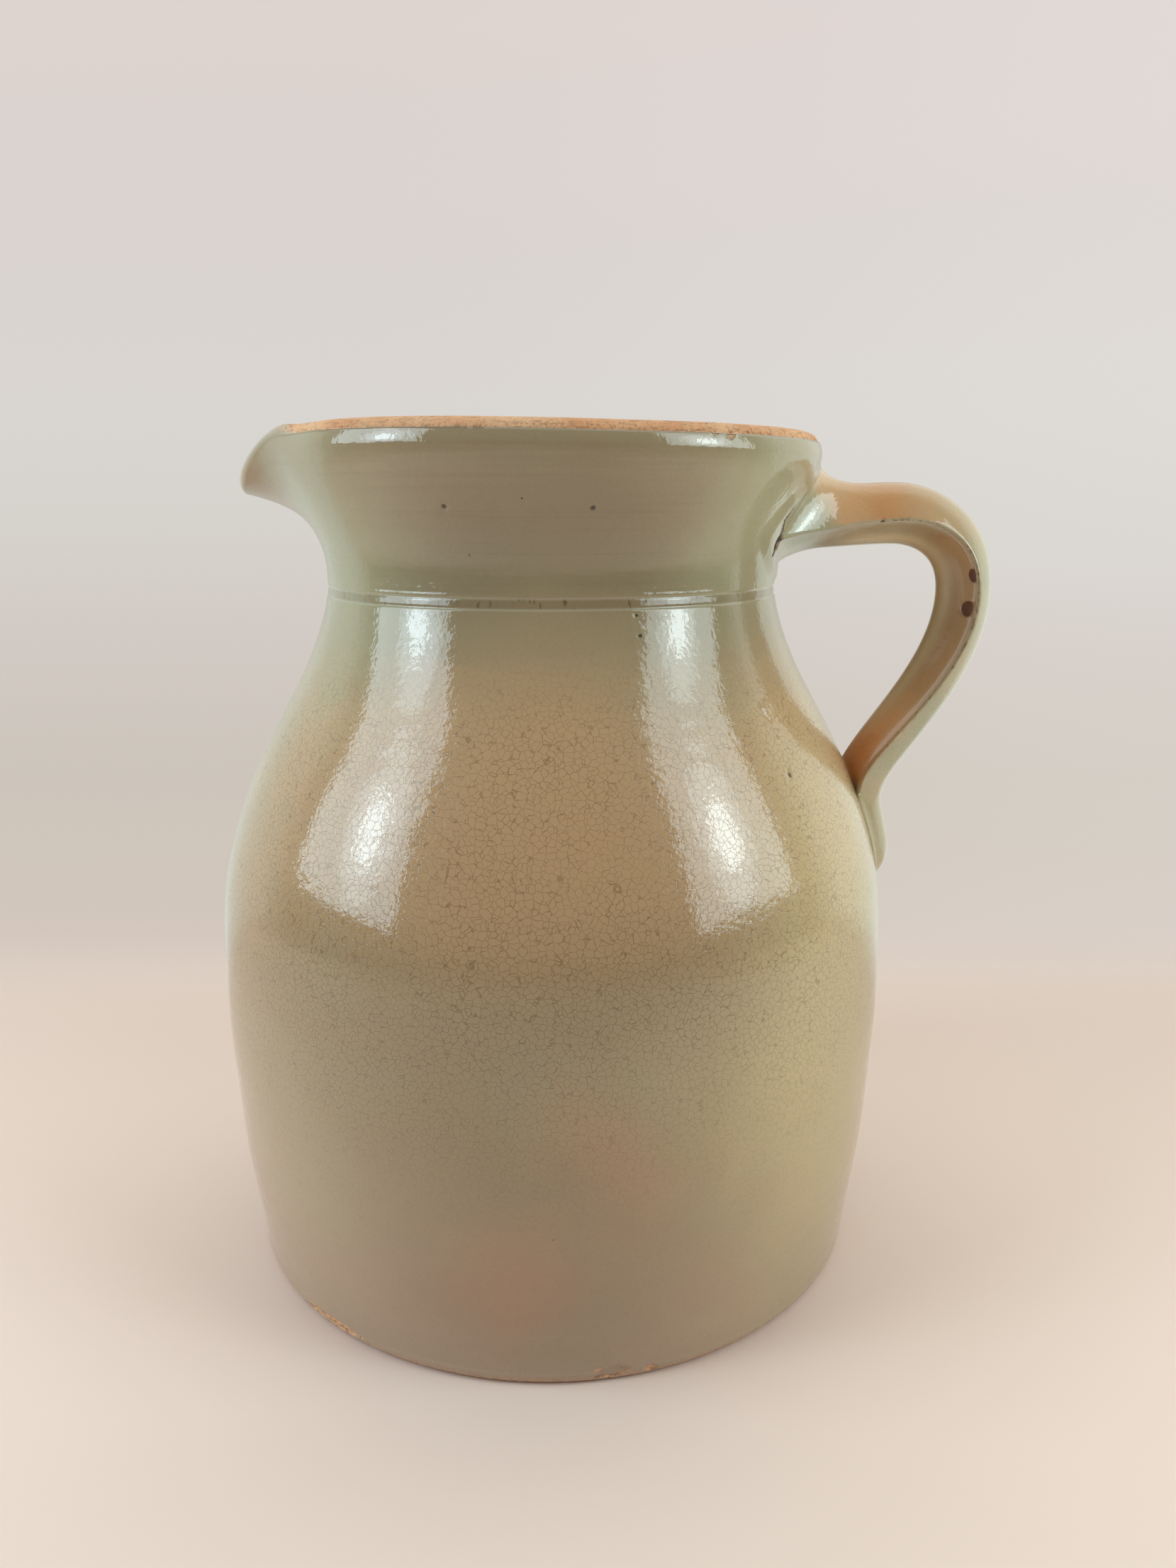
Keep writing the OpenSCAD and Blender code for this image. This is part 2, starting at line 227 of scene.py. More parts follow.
FOOT_CHIPS = [
    (100.5, 0.0032, 0.0045, 0.0021, 0.0008),
    (107.0, 0.0026, 0.0016, 0.0012, 0.0005),
    (50.0, 0.0030, 0.0120, 0.0013, 0.0005),
    (-64.0, 0.0028, 0.0035, 0.0016, 0.0006),
    (-138.0, 0.0030, 0.0022, 0.0018, 0.0006),
]
RIM_CHIPS = [
    (126.0, 0.2468, 0.0013, 0.0009, 0.0006),
    (122.5, 0.2470, 0.0006, 0.0008, 0.0004),
    (-101.0, 0.2470, 0.0012, 0.0008, 0.0006),
]
foot_disc = level(np.linspace(0, pot_radius(FOOT_ROUND) - FOOT_ROUND, 90, endpoint=False))
foot_x, foot_y = foot_disc * np.cos(np.radians(PHI)), foot_disc * np.sin(np.radians(PHI))
cut_line = foot_x + WIRE_BEND * np.hypot(foot_x - WIRE_CENTRE[0], foot_y - WIRE_CENTRE[1])
foot_cut = WIRE_CUT * (0.5 + 0.5 * np.sin(cut_line / WIRE_PITCH)) * fade(foot_disc, 0.09, 0.085)
foot_bend = foot_edge(-90, 16)
foot_bend = (foot_bend[0] - chips_at(*foot_bend, FOOT_CHIPS), foot_bend[1])
wall_z = np.linspace(FOOT_ROUND, NECK_Z, 120, endpoint=False)
neck_s = np.linspace(0, 1, 24)
rim_bend = rim_round(level(np.linspace(0, 180, 40)[1:-1]))
rim_bend = (rim_bend[0] - chips_at(*rim_bend, RIM_CHIPS), rim_bend[1])
wall_r = level(pot_radius(wall_z))
thrown_pot = turned(
    "thrown_pot",
    (foot_disc, foot_cut),
    foot_bend,
    (wall_r - chips_at(wall_r, level(wall_z), FOOT_CHIPS), level(wall_z)),
    neck_curve(neck_s),
    rim_bend,
    tuple(band[::-1] for band in grown(*neck_curve(neck_s), -neck_wall(neck_s))),
    tuple(band[1:] for band in wall_inside(48)),
)


class Wire:
    """One socket of a material. Arithmetic on it adds Math nodes, and node() adds any other kind."""

    def __init__(self, tree, socket=None):
        self.tree = tree
        self.socket = socket

    def node(self, kind, settings=(), sockets=(), output=0):
        made = self.tree.nodes.new("ShaderNode" + kind)
        for key, value in dict(settings).items():
            if key == "stops":
                ramp = made.color_ramp.elements
                while len(ramp) < len(value):
                    ramp.new(0.5)
                for stop, (place, colour) in zip(ramp, value):
                    stop.position = place
                    stop.color = colour
            else:
                setattr(made, key, value)
        for key, value in dict(sockets).items():
            if isinstance(value, Wire):
                self.tree.links.new(value.socket, made.inputs[key])
            else:
                made.inputs[key].default_value = value
        return Wire(self.tree, made.outputs[output] if len(made.outputs) else None)

    def math(self, operation, *values):
        return self.node("Math", {"operation": operation}, dict(enumerate(values)))

    def __add__(self, other):
        return self.math("ADD", self, other)

    def __sub__(self, other):
        return self.math("SUBTRACT", self, other)

    def __rsub__(self, other):
        return self.math("SUBTRACT", other, self)

    def __mul__(self, other):
        return self.math("MULTIPLY", self, other)

    def __truediv__(self, other):
        return self.math("DIVIDE", self, other)

    __radd__ = __add__
    __rmul__ = __mul__

    def __abs__(self):
        return self.math("ABSOLUTE", self)

    def step(self, start, end):
        """0 on the side of start, 1 on the side of end, with a soft step between them."""
        return self.node("MapRange", {"interpolation_type": "SMOOTHSTEP"}, {0: self, 1: start, 2: end})

    def part(self, axis):
        return self.node("SeparateXYZ", (), {0: self}, "XYZ".index(axis))

    def vector(self, operation, other, output=0):
        return self.node("VectorMath", {"operation": operation}, {0: self, 1: other}, output)

    def noise(self, size, detail=3):
        return self.node("TexNoise", (), {"Vector": self, "Scale": 1 / size, "Detail": detail})

    def cells(self, size, feature="F1", output=0):
        return self.node("TexVoronoi", {"feature": feature}, {"Vector": self, "Scale": 1 / size}, output)

    def bent(self, size, by):
        """Places pushed about by a soft noise."""
        push = self.node("TexNoise", (), {"Vector": self, "Scale": 1 / size, "Detail": 2}, 1)
        push = push.vector("SUBTRACT", (0.5, 0.5, 0.5)).vector("MULTIPLY", (by, by, by))
        return self.vector("ADD", push)

    def spot(self, point, core, edge):
        """1 within core of a point, 0 beyond edge."""
        return self.vector("DISTANCE", point, 1).step(edge, core)

    def flecks(self, size, radius, share):
        """Round flecks in some of the cells of a size: a share of them from 0 to 1."""
        chosen = self.node("SeparateColor", (), {0: self.cells(size, "F1", 1)})
        return self.cells(size).step(radius / size, 0.6 * radius / size) * chosen.step(share + 0.02, share - 0.02)

    def mask(self, name):
        return self.node("Attribute", {"attribute_name": name}, (), 2)

    def blend(self, share, a, b):
        """Colour a where share is 0, colour b where it is 1."""
        return self.node("Mix", {"data_type": "RGBA"}, {0: share, 6: a, 7: b}, 2)


def srgb(red, green, blue):
    """A colour as a screen shows it, 0 to 255, in the linear values that shaders take."""
    return tuple(((c / 255 + 0.055) / 1.055) ** 2.4 for c in (red, green, blue)) + (1,)


def material(name):
    """A new material, and its places in the shared frame."""
    made = bpy.data.materials.new(name)
    made.use_nodes = True
    made.node_tree.nodes.clear()
    return made, Wire(made.node_tree).node("TexCoord", (), (), "Object")


def finish(colour, roughness, height, ior):
    """Ends a material in one shader. Colour, roughness and height in metres may vary over the surface."""
    normal = colour.node("Bump", (), {"Strength": 1, "Distance": 1, "Height": height})
    shader = colour.node("BsdfPrincipled", (), {
        "Base Color": colour, "Roughness": roughness, "IOR": ior, "Normal": normal})
    colour.node("OutputMaterial", (), {"Surface": shader})


def dress(piece, made):
    piece.data.materials.clear()
    piece.data.materials.append(made)


CLAY_ORANGE = srgb(211, 149, 103)
CLAY_PALE = srgb(222, 172, 128)
CLAY_DARK = srgb(88, 52, 34)


def bare_clay(name):
    made, where = material(name)
    round_it = where.vector("MULTIPLY", (1, 1, 0)).vector("LENGTH", (0, 0, 0), 1)
    along = where.node("CombineXYZ", (), {0: round_it, 1: where.noise(0.02) * 0.004, 2: where.part("Z")})
    grain = where.noise(0.0006, 4)
    cloud = where.noise(0.014, 4)
    scratches = along.vector("ADD", where.bent(0.01, 0.3).vector("MULTIPLY", (0.02, 0.02, 0))).noise(0.0004, 2)
    scratches = scratches.step(0.58, 0.74) * where.noise(0.009).step(0.4, 0.6)
    pits = where.flecks(0.0022, 0.0003, 0.35)
    streaks = where.bent(0.02, 0.0006).vector("MULTIPLY", (0.12, 0.12, 1)).noise(0.0005, 3).step(0.52, 0.66)
    worn = where.part("Z").step(0.2497, 0.2482) * where.noise(0.0012, 3).step(0.5, 0.62)
    soot = where.noise(0.004, 4).step(0.58, 0.75)
    colour = where.blend(cloud.step(0.35, 0.65), CLAY_ORANGE, CLAY_PALE)
    colour = where.blend(grain.step(0.5, 0.75) * 0.35, colour, CLAY_DARK)
    colour = where.blend(scratches * 0.55, colour, CLAY_DARK)
    colour = where.blend(soot * 0.3, colour, CLAY_DARK)
    colour = where.blend(streaks * 0.25, colour, CLAY_DARK)
    colour = where.blend(worn * 0.3, colour, CLAY_DARK)
    colour = where.blend(pits * 0.7, colour, CLAY_DARK)
    finish(colour, 0.8, grain * 0.00014 - pits * 0.0002 - scratches * 0.0001, 1.5)
    return made


clay = bare_clay("clay")
dress(thrown_pot, clay)
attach(thrown_pot, "root")
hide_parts("clay_body")


# The outer coat of glaze
# A grey-green lead glaze poured over the outside, glassy and finely crazed, flushed warm on the belly.
# It was wiped off the rim and the foot for the kiln, and runs on over the lip.
COAT = 0.0006
GLAZE_FROM = -44
LINE_Z = (0.2042, 0.2069)
LINE_DEPTH = 0.0002
LINE_HALF = 0.0004
BAND_DEPTH = 0.0002
COAT_STEP = 0.0008
LINE_STEP = 0.00018
LINE_ROWS = (0.2028, 0.2084)
LIP_GLAZED = (16, 36)
OVER_LIP = 176
FEATHER = 0.00005
BARE_DEPTH = (0.0001, 0.0003)
PITS = [
    (71.0, 0.2296, 0.0009, 0.0007, 0.0003),
    (86.5, 0.2316, 0.0004, 0.0004, 0.0002),
    (99.8, 0.2294, 0.0009, 0.0004, 0.0002),
    (74.4, 0.2178, 0.0004, 0.0004, 0.0002),
    (138.4, 0.1596, 0.0009, 0.0008, 0.0003),
    (105.4, 0.1324, 0.0005, 0.0006, 0.0002),
    (110.4, 0.2026, 0.0006, 0.0007, 0.00008),
    (110.9, 0.1975, 0.0007, 0.0006, 0.00008),
    (66.0, 0.0174, 0.0005, 0.0005, 0.0002),
    (-77.0, 0.1460, 0.0008, 0.0008, 0.0003),
    (-121.0, 0.0920, 0.0006, 0.0006, 0.0002),
    (-40.0, 0.1740, 0.0005, 0.0006, 0.0002),
]
PIMPLE = (139.7, 0.1754, 0.0024, 0.0026, 0.0004)
PAD_Z = 0.225
PAD_HALF = 0.041
PAD_HIGH = 0.019
PAD_RISE = 0.0009
CRACK = np.array([
    (0.0682, -0.0298, 0.2288, 0.0008), (0.0658, -0.0312, 0.2257, 0.0011), (0.0658, -0.0281, 0.2232, 0.0014),
    (0.0655, -0.0270, 0.2212, 0.0020), (0.0650, -0.0262, 0.2196, 0.0036), (0.0641, -0.0264, 0.2180, 0.0020),
    (0.0636, -0.0268, 0.2160, 0.0013),
])
CRACK_DEPTH = 0.0009
CRACK_STEPS = 3


def rings_of_throwing(r, z):
    """Slight rise and fall of the wall where the fingers drew it up."""
    turn = np.radians(PHI)
    drift = z + 0.0012 * np.sin(turn + 1) + 0.0006 * np.sin(2 * turn) + 0.0003 * np.sin(7 * turn)
    fine = 0.000012 * np.sin(drift / 0.0009 + 2 * np.sin(3 * turn)) + 0.00003 * np.sin(drift / 0.0021)
    return fine * np.sin(drift / 0.009 + 1) + 0.00014 * (np.sin(drift / 0.0065 + 2) - 1)


def incised(z):
    cut = sum(np.exp(-((z - line) / LINE_HALF) ** 2) for line in LINE_Z)
    return -LINE_DEPTH * cut - BAND_DEPTH * fade(z, 0.2038, 0.2045) * fade(z, 0.2073, 0.2066)


def smeared(r, z):
    """Rise of the clay that was smeared from the handle's root onto the neck."""
    around = np.radians(180 - np.abs(PHI)) * r + 0.0012 * np.sin(z / 0.0041) + 0.0006 * np.sin(z / 0.0017)
    return PAD_RISE * fade(np.hypot(around / PAD_HALF, (z - PAD_Z) / PAD_HIGH), 1, 0.8)


def torn_at(r, z):
    """Depth of the tear beside the handle's root."""
    turn = np.radians(PHI)
    points = np.stack([-r * np.cos(turn), -r * np.sin(turn), z], axis=-1)
    depth = np.zeros_like(r)
    for *place, radius in CRACK:
        depth = np.maximum(depth, CRACK_DEPTH * fade(np.linalg.norm(points - place, axis=-1), radius, 0.4 * radius))
    return depth


def coated(r, z, more=0):
    """A band of the pot under its coat, and how thin the coat is there."""
    pits, bare = chips_at(r, z, PITS), chips_at(r, z, FOOT_CHIPS + RIM_CHIPS)
    by = COAT + more - pits - bare - torn_at(r, z) + chips_at(r, z, [PIMPLE]) + smeared(r, z)
    return *grown(r, z, by), fade(bare, *BARE_DEPTH)


coat_z = np.concatenate([np.arange(FOOT_ROUND, LINE_ROWS[0], COAT_STEP), np.arange(*LINE_ROWS, LINE_STEP)])
coat_s = np.linspace(0, 1, 80)
under_z = np.linspace(NECK_Z, FOOT_ROUND, 40, endpoint=False)
ragged = 3 + 4 * np.sin(np.radians(23 * PHI)) * np.sin(np.radians(37 * PHI + 40)) + 3 * np.sin(np.radians(91 * PHI))
past_lip = fade(np.abs(PHI), *LIP_GLAZED)
rim_reach = mix(OVER_LIP, ragged, past_lip)
over = np.linspace(0, 1, 32)[1:, None]
over_thin = fade(over, 0.1, 0.6) * past_lip
coat_edge = foot_edge(GLAZE_FROM, 12, COAT)
edge_bare = chips_at(*coat_edge, FOOT_CHIPS)
edge_thin = np.maximum(level(np.linspace(1, 0, 12) ** 2), fade(edge_bare, *BARE_DEPTH))
wall_r, wall_h = level(pot_radius(coat_z)), level(coat_z)
neck_r, neck_h = neck_curve(coat_s)
outer_coat = turned(
    "outer_coat",
    (coat_edge[0] - edge_bare, coat_edge[1], edge_thin),
    coated(wall_r, wall_h, rings_of_throwing(wall_r, wall_h) + incised(wall_h)),
    coated(neck_r, neck_h, 0.5 * rings_of_throwing(neck_r, neck_h) * fade(neck_h, 0.209, 0.215)),
    (*rim_round(over * rim_reach, mix(COAT, FEATHER, fade(over, 0, 0.4))), over_thin),
    rim_round(over[::-2] * rim_reach),
    tuple(band[::-3] for band in neck_curve(coat_s)),
    (level(pot_radius(under_z)), level(under_z)),
    tuple(band[::-1] for band in foot_edge(GLAZE_FROM, 12)),
    ring=True,
)

HEIGHT_COLOURS = [
    (0.00, srgb(174, 150, 126)),
    (0.10, srgb(165, 138, 114)),
    (0.30, srgb(157, 136, 104)),
    (0.44, srgb(157, 135, 103)),
    (0.54, srgb(180, 147, 109)),
    (0.70, srgb(186, 152, 112)),
    (0.78, srgb(150, 133, 103)),
    (0.84, srgb(141, 127, 99)),
    (0.92, srgb(148, 129, 102)),
    (1.00, srgb(153, 134, 104)),
]
CELADON = srgb(156, 146, 114)
FLUSH = srgb(185, 146, 109)
CREAM = srgb(212, 190, 142)
OLIVE = srgb(171, 166, 133)
BLUSH = srgb(196, 172, 144)
# Painted shade: the warm brown of the lip's shaded underside.
LIP_UNDERSIDE_SHADE = srgb(168, 136, 102)
STAIN = srgb(187, 142, 110)
CRAZE = srgb(92, 62, 38)
IRON = srgb(46, 34, 26)
PALE_LINE = srgb(206, 200, 170)
FLUSHES = [
    ((0.000, -0.092, 0.164), 0.01, 0.068, 0.6),
    ((-0.020, 0.094, 0.140), 0.01, 0.07, 0.5),
    ((-0.085, -0.050, 0.120), 0.0, 0.04, 0.3),
]
STAINS = [
    ((0.015, -0.102, 0.080), 0.026, 0.45),
    ((0.024, -0.100, 0.062), 0.02, 0.35),
    ((-0.008, -0.101, 0.036), 0.030, 0.45),
    ((-0.030, 0.098, 0.050), 0.035, 0.4),
]
# Soft spots of tint over the glaze; the spot under the lip is painted shade.
CLOUDS_AND_LIP_SHADE = [
    ((0.084, -0.056, 0.140), 0.060, 0.55, CREAM),
    ((0.065, -0.076, 0.090), 0.06, 0.45, CREAM),
    ((0.080, -0.062, 0.050), 0.085, 0.4, CREAM),
    ((-0.080, -0.062, 0.045), 0.085, 0.5, BLUSH),
    # Painted shade under the lip.
    ((-0.088, 0.000, 0.226), 0.040, 0.9, LIP_UNDERSIDE_SHADE),
    ((0.056, -0.044, 0.228), 0.042, 0.9, OLIVE),
    ((-0.056, -0.044, 0.228), 0.042, 0.5, OLIVE),
    ((-0.056, -0.050, 0.196), 0.035, 0.5, OLIVE),
    ((0.056, 0.044, 0.228), 0.05, 0.8, OLIVE),
    ((-0.070, 0.070, 0.130), 0.06, 0.5, CELADON),
]
CRAZE_CELL = 0.0018
FINE_CELL = 0.0012
GLASS_GLOSS = 0.035
GLASS_IOR = 1.6


def glass(where, colour, crazed, thin, bare):
    """Ends a glaze: crazing, specks and bare places over its colour, and a faintly uneven gloss."""
    crazing = where.bent(0.0025, 0.0017).cells(CRAZE_CELL, "DISTANCE_TO_EDGE").step(0.055, 0.018)
    fine = where.bent(0.002, 0.0012).cells(FINE_CELL, "DISTANCE_TO_EDGE").step(0.08, 0.02)
    patch = where.noise(0.02)
    crazing = (crazing * patch.step(0.0, 0.48) + fine * patch.step(0.35, 0.65) * 0.12) * crazed
    specks = where.flecks(0.016, 0.00028, 0.3)
    dust = where.flecks(0.0035, 0.00016, 0.25)
    holes = where.flecks(0.006, 0.00022, 0.3)
    colour = where.blend(crazing * 0.43, colour, CRAZE)
    colour = where.blend(dust * 0.4, colour, CRAZE)
    colour = where.blend(specks * 0.85, colour, IRON)
    colour = where.blend(thin, colour, bare)
    peel = where.noise(0.006, 2) * 0.00008 + where.noise(0.0014, 2) * 0.00006
    height = peel - crazing * 0.00001 - specks * 0.00004 - holes * 0.00006
    roughness = where.noise(0.03).step(0.3, 0.7) * 0.03 + thin * 0.5 + GLASS_GLOSS
    finish(colour, roughness, height, GLASS_IOR)


def cracked(where):
    """Where the seam beside the handle's root has torn open."""
    ragged = where.bent(0.0016, 0.0022)
    torn = 0.0
    for start, end in zip(CRACK, CRACK[1:]):
        for step in range(CRACK_STEPS):
            *place, radius = mix(start, end, step / CRACK_STEPS)
            torn = ragged.math("MAXIMUM", torn, ragged.spot(place, 0.5 * radius, radius))
    return torn


made, where = material("outer_glaze")
up = where.part("Z")
cloud = where.noise(0.055, 3)
bands = where.vector("MULTIPLY", (1, 1, 7)).noise(0.05, 3)
colour = where.node("ValToRGB", {"stops": HEIGHT_COLOURS}, {0: (up + (bands - 0.5) * 0.012) / BODY_H})
colour = where.blend(cloud.step(0.48, 0.72) * 0.45, colour, CELADON)
streaks = where.vector("MULTIPLY", (1, 1, 40)).noise(0.06, 3).step(0.5, 0.7) * up.step(0.20, 0.215)
colour = where.blend(streaks * 0.09, colour, CRAZE)
warm = where.bent(0.03, 0.03)
for place, core, edge, share in FLUSHES:
    colour = where.blend(warm.spot(place, core, edge) * share, colour, FLUSH)
for place, edge, share in STAINS:
    colour = where.blend(warm.spot(place, 0, edge) * share, colour, STAIN)
for place, edge, share, tint in CLOUDS_AND_LIP_SHADE:
    colour = where.blend(warm.spot(place, 0, edge) * share, colour, tint)
lower, upper = (abs(up - line).step(0.0005, 0.0001) for line in LINE_Z)
between = up.step(0.2040, 0.2045) * up.step(0.2072, 0.2067)
ticks = where.vector("MULTIPLY", (1, 1, 0.2)).noise(0.0012, 2).step(0.6, 0.72) * between
colour = where.blend(between * 0.25 + ticks * 0.5, colour, CRAZE)
colour = where.blend(lower.math("MAXIMUM", lower, upper) * 0.2, colour, PALE_LINE)
for phi, height, wide, high, deep in PITS:
    a = math.radians(phi)
    r = float(pot_radius(height)) if height < NECK_Z else float(plain_neck((height - NECK_Z) / (EDGE_Z - NECK_Z)))
    place = (-(r + COAT) * math.cos(a), -(r + COAT) * math.sin(a), height)
    colour = where.blend(where.bent(0.0008, 0.0006).spot(place, 0.5 * wide, wide) * 0.85, colour, IRON)
torn = cracked(where)
bare = where.blend(where.noise(0.0012).step(0.45, 0.75), CLAY_PALE, CLAY_DARK)
crazed = up.step(0.197, 0.168) * up.step(0.04, 0.12) * 0.85 + 0.15
glass(where, colour, crazed, torn.math("MAXIMUM", torn, where.mask("thin")), where.blend(torn, bare, IRON))
dress(outer_coat, made)
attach(outer_coat, "root")
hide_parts("outer_glaze")


# The liner
# The same glaze, swilled round inside and poured out, which makes the porous clay hold milk.
# It is paler there, and ends in an uneven line just inside the rim.
LINER_GREEN = srgb(170, 160, 130)
LINER_CREAM = srgb(188, 166, 132)
LINER_LOW = srgb(150, 122, 88)
liner_s = np.linspace(0, 1, 36)
lined = tuple(band[::-1] for band in wall_inside(20))
inner_coat = turned(
    "inner_coat",
    tuple(band[:-1] for band in lined),
    grown(*neck_curve(liner_s[::3]), -neck_wall(liner_s[::3])),
    tuple(band[::-1] for band in grown(*neck_curve(liner_s), -neck_wall(liner_s) - COAT)),
    tuple(band[1:] for band in wall_inside(120, COAT)),
)
made, where = material("inner_glaze")
cloud = where.noise(0.05, 4)
colour = where.blend(cloud.step(0.35, 0.7), LINER_GREEN, LINER_CREAM)
# Darker and browner towards the floor inside the pot.
colour = where.blend(where.part("Z").step(0.05, 0.012) * 0.5, colour, LINER_LOW)
glass(where, colour, 0.6, where.mask("thin"), CLAY_PALE)
dress(inner_coat, made)
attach(inner_coat, "root")
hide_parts("inner_glaze")


# The strap handle
# A strap of the same clay pulled by hand, domed on the back and ribbed inside between two sharp edges.
# Its root is luted to the neck and its tail pressed onto the shoulder; the coat on it is thin, so the clay shows.
FINGER_GAP = 0.051
STRAP_DROP = 0.026
CROWN_RISE = 0.0018
BEND_R = 0.0225
ROOT_SIZE = np.array([0.016, 0.0094, 0.0076, 0.0026, -0.0022])
CROWN_SIZE = np.array([0.016, 0.0094, 0.0076, 0.0026, -0.0011])
ELBOW_SIZE = np.array([0.016, 0.0069, 0.0076, 0.0026, 0.0])
LAND_SIZE = np.array([0.0143, 0.0086, 0.0056, 0.0008, -0.0015])
TAIL_SIZE = np.array([0.0135, 0.0072, 0.0047, 0.0, 0.0])
END_SHARE = 0.6
LAND_Z = 0.147
LAND_GAP = 0.0034
LAND_ANGLE = 72
TAIL_LEN = 0.036
TAIL_SINK = 0.0008
PRESSED = 0.6
BACK_POWER = 2.3
ROOT_FILLET = 0.0078
ROOT_TOP = 0.0006
ROOT_SPREAD = 0.0042
SWELL_FROM = 0.003
SWELL_ROUNDS = 16
SWELL_EASE = 0.3
IN_WALL = 0.0035
STRAP_MERGE = 0.00002
TAIL_FILLET = 0.001
SPAN_RINGS = (70, 50, 80, 60, 40)
ACROSS = 72
RIB_AT = 0.17
RIB_HALF = 0.11
STRAP_CHIP_DEPTH = 0.0005
STRAP_CHIPS = [
    (0.1258, -0.0111, 0.2097, 0.0024),
    (0.1254, -0.0096, 0.1997, 0.0028),
    (0.0965, -0.0160, 0.2251, 0.0008),
    (0.1002, -0.0160, 0.2225, 0.0007),
    (0.1150, 0.0158, 0.1700, 0.0015),
]


def unit(v):
    return np.asarray(v) / np.linalg.norm(v)


def strap_path():
    """Spans of the strap's edges from root to tail, each a curve's four points in the plane y = 0."""
    root_z = BODY_H - STRAP_DROP
    reach = NECK_R + COAT + FINGER_GAP + CROWN_SIZE[2]
    tail_z, end_z = LAND_Z - TAIL_LEN * PRESSED, LAND_Z - TAIL_LEN
    land = -np.array([math.cos(math.radians(LAND_ANGLE)), math.sin(math.radians(LAND_ANGLE))])
    along_wall = unit([pot_radius(tail_z - 0.0001) - pot_radius(tail_z), -0.0001])
    places = [
        ((NECK_R - WALL, root_z), (1, 0), 0, 0.5),
        ((reach - BEND_R, root_z + CROWN_RISE), (1, 0), 0.25, 0.3),
        ((reach, root_z + CROWN_RISE - BEND_R), (0, -1), 0.54, 0.39),
        ((pot_radius(LAND_Z) + LAND_GAP, LAND_Z), land, 0.2, 0.4),
        ((pot_radius(tail_z) - TAIL_SINK, tail_z), along_wall, 0.45, 0.5),
        ((pot_radius(end_z) - TAIL_SIZE[1] - TAIL_SINK, end_z), land, 0.3, 0),
    ]
    spans = []
    for (a, a_way, _, a_pull), (b, b_way, b_pull, _) in zip(places, places[1:]):
        a, b = np.array(a, float), np.array(b, float)
        length = np.linalg.norm(b - a)
        spans.append([a, a + length * a_pull * np.array(a_way), b - length * b_pull * np.array(b_way), b])
    return spans


def coat_radius(z):
    """Radius of the glazed pot at a height, without the lip."""
    return np.where(z < NECK_Z, pot_radius(z), plain_neck(np.clip((z - NECK_Z) / (EDGE_Z - NECK_Z), 0, 1))) + COAT


back = np.linspace(1, -1, ACROSS, endpoint=False)
face = np.linspace(-1, 1, ACROSS, endpoint=False)


def strap_section(size):
    """Outline across the strap: its domed back from one edge to the other, then its ribbed inner face."""
    half, dome, rib, cove, edge = size
    rise = edge + np.concatenate([
        (dome - edge) * (1 - np.abs(back) ** BACK_POWER),
        cove * np.sin(np.pi * np.abs(face)) - (rib + edge) * np.cos(np.pi / 2 * face) ** 2,
    ])
    return np.stack([np.concatenate([back, face]) * half, rise], axis=-1)


def placed(flat, p, way):
    """A flat outline set square across the strap's path."""
    return np.stack([p[0] - way[1] * flat[:, 1], flat[:, 0], p[1] + way[0] * flat[:, 1]], axis=-1)


def strap_rings(coat):
    """Rings of points along the strap, under a coat that swells into the wall at both ends."""
    rings = []
    spans = strap_path()
    sizes = [ROOT_SIZE, CROWN_SIZE, ELBOW_SIZE, LAND_SIZE, TAIL_SIZE, TAIL_SIZE * END_SHARE]
    for k, span in enumerate(spans):
        for t in np.linspace(0, 1, SPAN_RINGS[k], endpoint=k == len(spans) - 1):
            p = bezier(span, t)
            way = unit(bezier(span, t + 1e-4) - bezier(span, t - 1e-4))
            outline = strap_section(mix(sizes[k], sizes[k + 1], smooth(t)))
            ahead = np.roll(outline, -1, axis=0) - np.roll(outline, 1, axis=0)
            normal = np.stack([ahead[:, 1], -ahead[:, 0]], axis=-1)
            normal /= np.linalg.norm(normal, axis=1, keepdims=True)
            spot = placed(outline, p, way)
            outward = outline - [0, SWELL_FROM]
            outward /= np.linalg.norm(outward, axis=1, keepdims=True)
            at_root = ROOT_FILLET + ROOT_TOP * outward[:, 1] + ROOT_SPREAD * np.abs(outward[:, 0])
            fillet = at_root if k < 2 else TAIL_FILLET
            swell = np.zeros(len(outline))
            for _ in range(SWELL_ROUNDS):
                swollen = placed(outline + outward * swell[:, None], p, way)
                clear = np.hypot(swollen[:, 0], swollen[:, 1]) - coat_radius(swollen[:, 2])
                near = np.clip(1 - clear / (2 * fillet), 0, 1)
                swell = mix(swell, fillet * (1 - np.sqrt(1 - near ** 2)), SWELL_EASE)
            by = np.full(len(outline), float(coat))
            for *centre, radius in STRAP_CHIPS:
                by -= STRAP_CHIP_DEPTH * fade(np.linalg.norm(spot - centre, axis=1), radius, 0.7 * radius)
            ring = placed(outline + normal * by[:, None] + outward * swell[:, None], p, way)
            deepest = coat_radius(ring[:, 2]) - IN_WALL
            ring[:, :2] *= np.maximum(1, deepest / np.hypot(ring[:, 0], ring[:, 1]))[:, None]
            rings.append(ring)
    return np.array(rings)


outer_rings = strap_rings(COAT)
inner_rings = strap_rings(0)[::-1]
rows = len(outer_rings)
across = np.concatenate([back, face])
on_face = np.concatenate([np.zeros(ACROSS), np.ones(ACROSS)])
edge_line = fade(np.abs(across), 0.965, 1.0)
cove_depth = on_face * np.sin(np.pi * np.abs(across)) ** 0.7
along = np.linspace(0, 1, rows)


def both_sides(values):
    """A mask over the coat's outside, with nothing on its inside."""
    return np.concatenate([np.broadcast_to(values, (rows, 2 * ACROSS)), np.zeros((rows, 2 * ACROSS))])


def capped(rings):
    """Rings closed at both ends by a fan of faces round the end rings' middles."""
    ends = [np.broadcast_to(rings[k].mean(axis=0), (1, *rings[k].shape)) for k in (0, -1)]
    return np.concatenate([ends[0], rings, ends[1]])


